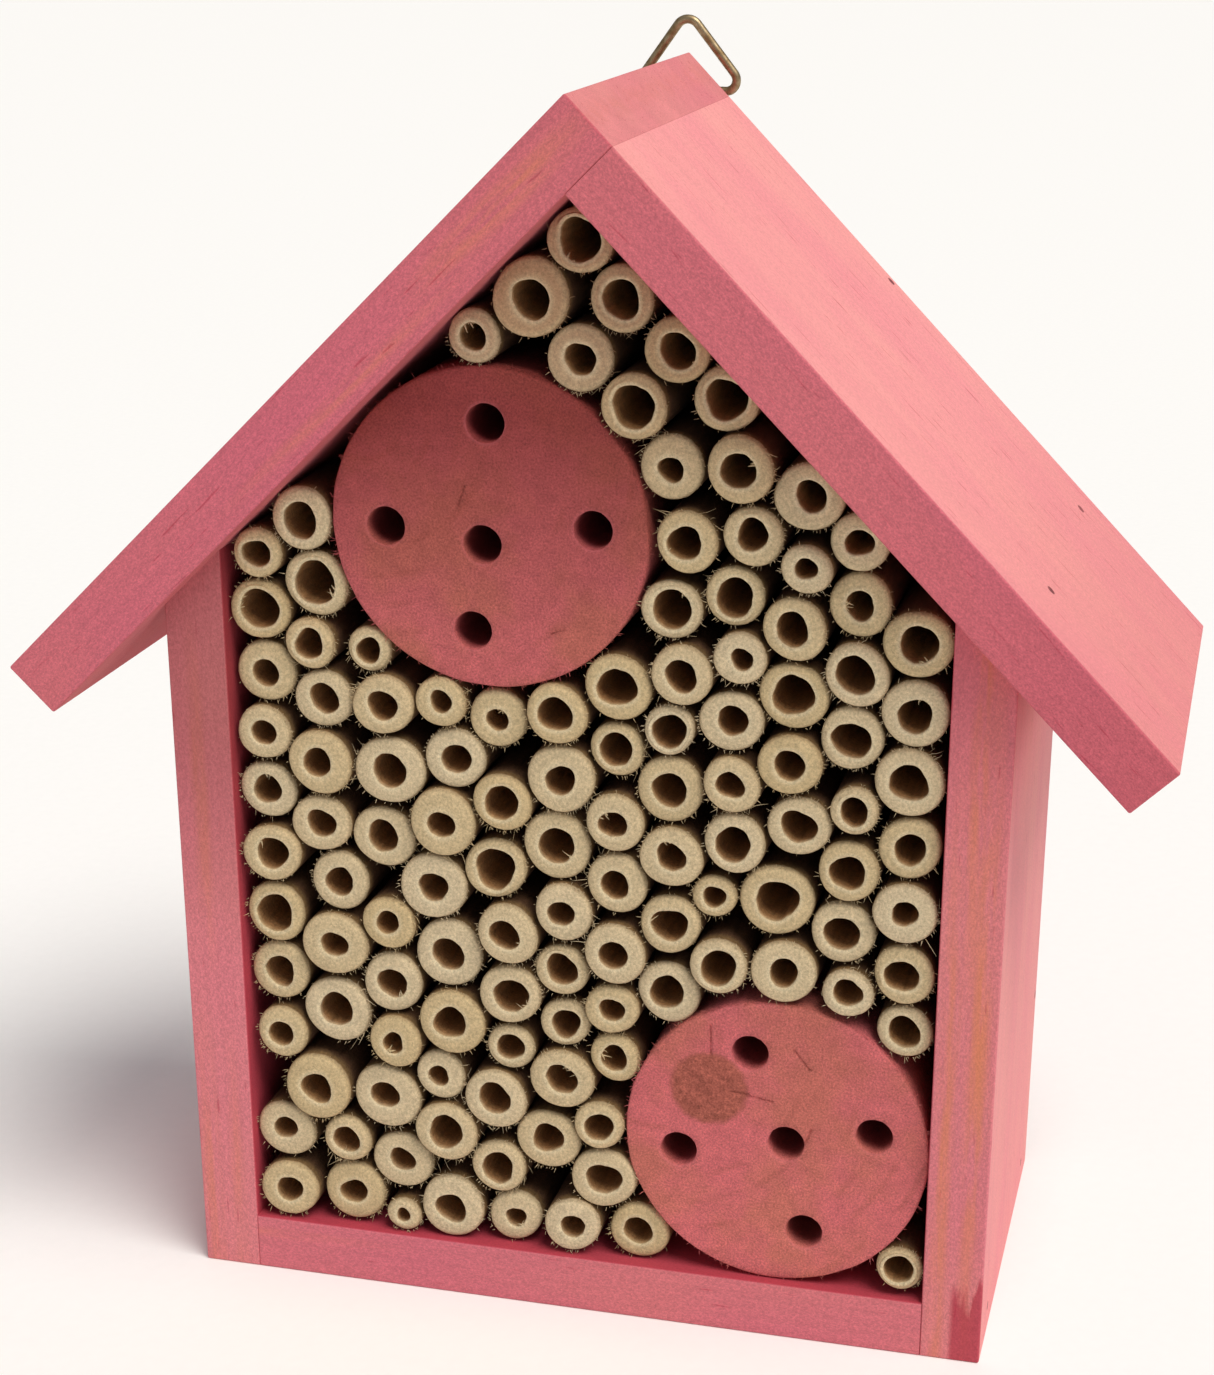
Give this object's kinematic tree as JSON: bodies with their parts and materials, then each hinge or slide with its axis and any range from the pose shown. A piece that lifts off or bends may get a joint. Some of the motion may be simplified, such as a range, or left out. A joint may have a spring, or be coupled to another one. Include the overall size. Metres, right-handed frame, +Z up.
{
  "type": "insect hotel",
  "caption": "Small pitched-roof box of stained pine, filled with bamboo canes and drilled logs for solitary bees, with a hanging ring behind its ridge.",
  "frame": {"origin": "middle of the underside of the floor board, on the surface that the body stands on", "axes": "+Z up, the open front faces -Y, +X to the right as seen from the front"},
  "size_m": [0.2238, 0.0941, 0.25],
  "materials": {
    "roof_pine": "stained softwood, planed, matt",
    "body_pine": "stained softwood, planed, matt",
    "log_wood": "sawn end grain, stained",
    "bamboo": "sawn cane ends, pale and dry",
    "plywood": "stained plywood",
    "nail_steel": "dull wire nail",
    "ring_brass": "brassed wire, slightly tarnished",
    "strap_brass": "brassed sheet",
    "screw_steel": "zinc and brass plated"
  },
  "bodies": {
    "house": {"back_panel": "plywood", "canes_01": "bamboo", "canes_02": "bamboo", "canes_03": "bamboo", "canes_04": "bamboo", "canes_05": "bamboo", "canes_06": "bamboo", "canes_07": "bamboo", "canes_08": "bamboo", "canes_09": "bamboo", "canes_10": "bamboo", "canes_11": "bamboo", "canes_12": "bamboo", "canes_13": "bamboo", "canes_14": "bamboo", "canes_15": "bamboo", "canes_16": "bamboo", "canes_17": "bamboo", "canes_18": "bamboo", "canes_19": "bamboo", "canes_20": "bamboo", "canes_21": "bamboo", "canes_22": "bamboo", "canes_23": "bamboo", "canes_24": "bamboo", "canes_25": "bamboo", "canes_26": "bamboo", "canes_27": "bamboo", "canes_28": "bamboo", "canes_29": "bamboo", "canes_30": "bamboo", "canes_31": "bamboo", "canes_32": "bamboo", "canes_33": "bamboo", "canes_34": "bamboo", "canes_35": "bamboo", "canes_36": "bamboo", "canes_37": "bamboo", "canes_38": "bamboo", "canes_39": "bamboo", "canes_40": "bamboo", "canes_41": "bamboo", "canes_42": "bamboo", "canes_43": "bamboo", "canes_44": "bamboo", "floor_board": "body_pine", "floor_nails": "nail_steel", "hanger_screw": "screw_steel", "hanger_strap": "strap_brass", "log_lower": "log_wood", "log_upper": "log_wood", "panel_nails": "nail_steel", "ridge_nails": "nail_steel", "roof_board_left": "roof_pine", "roof_board_right": "roof_pine", "roof_nails": "nail_steel", "side_board_left": "body_pine", "side_board_right": "body_pine"},
    "ring": {"hanger_ring": "ring_brass"}
  },
  "joints": [
    {"name": "ring_swing", "type": "hinge", "parent": "house", "child": "ring", "pos_m": [0, 0.0438, 0.23527], "axis": [-1, 0, 0], "range_deg": [-5, 180]}
  ]
}
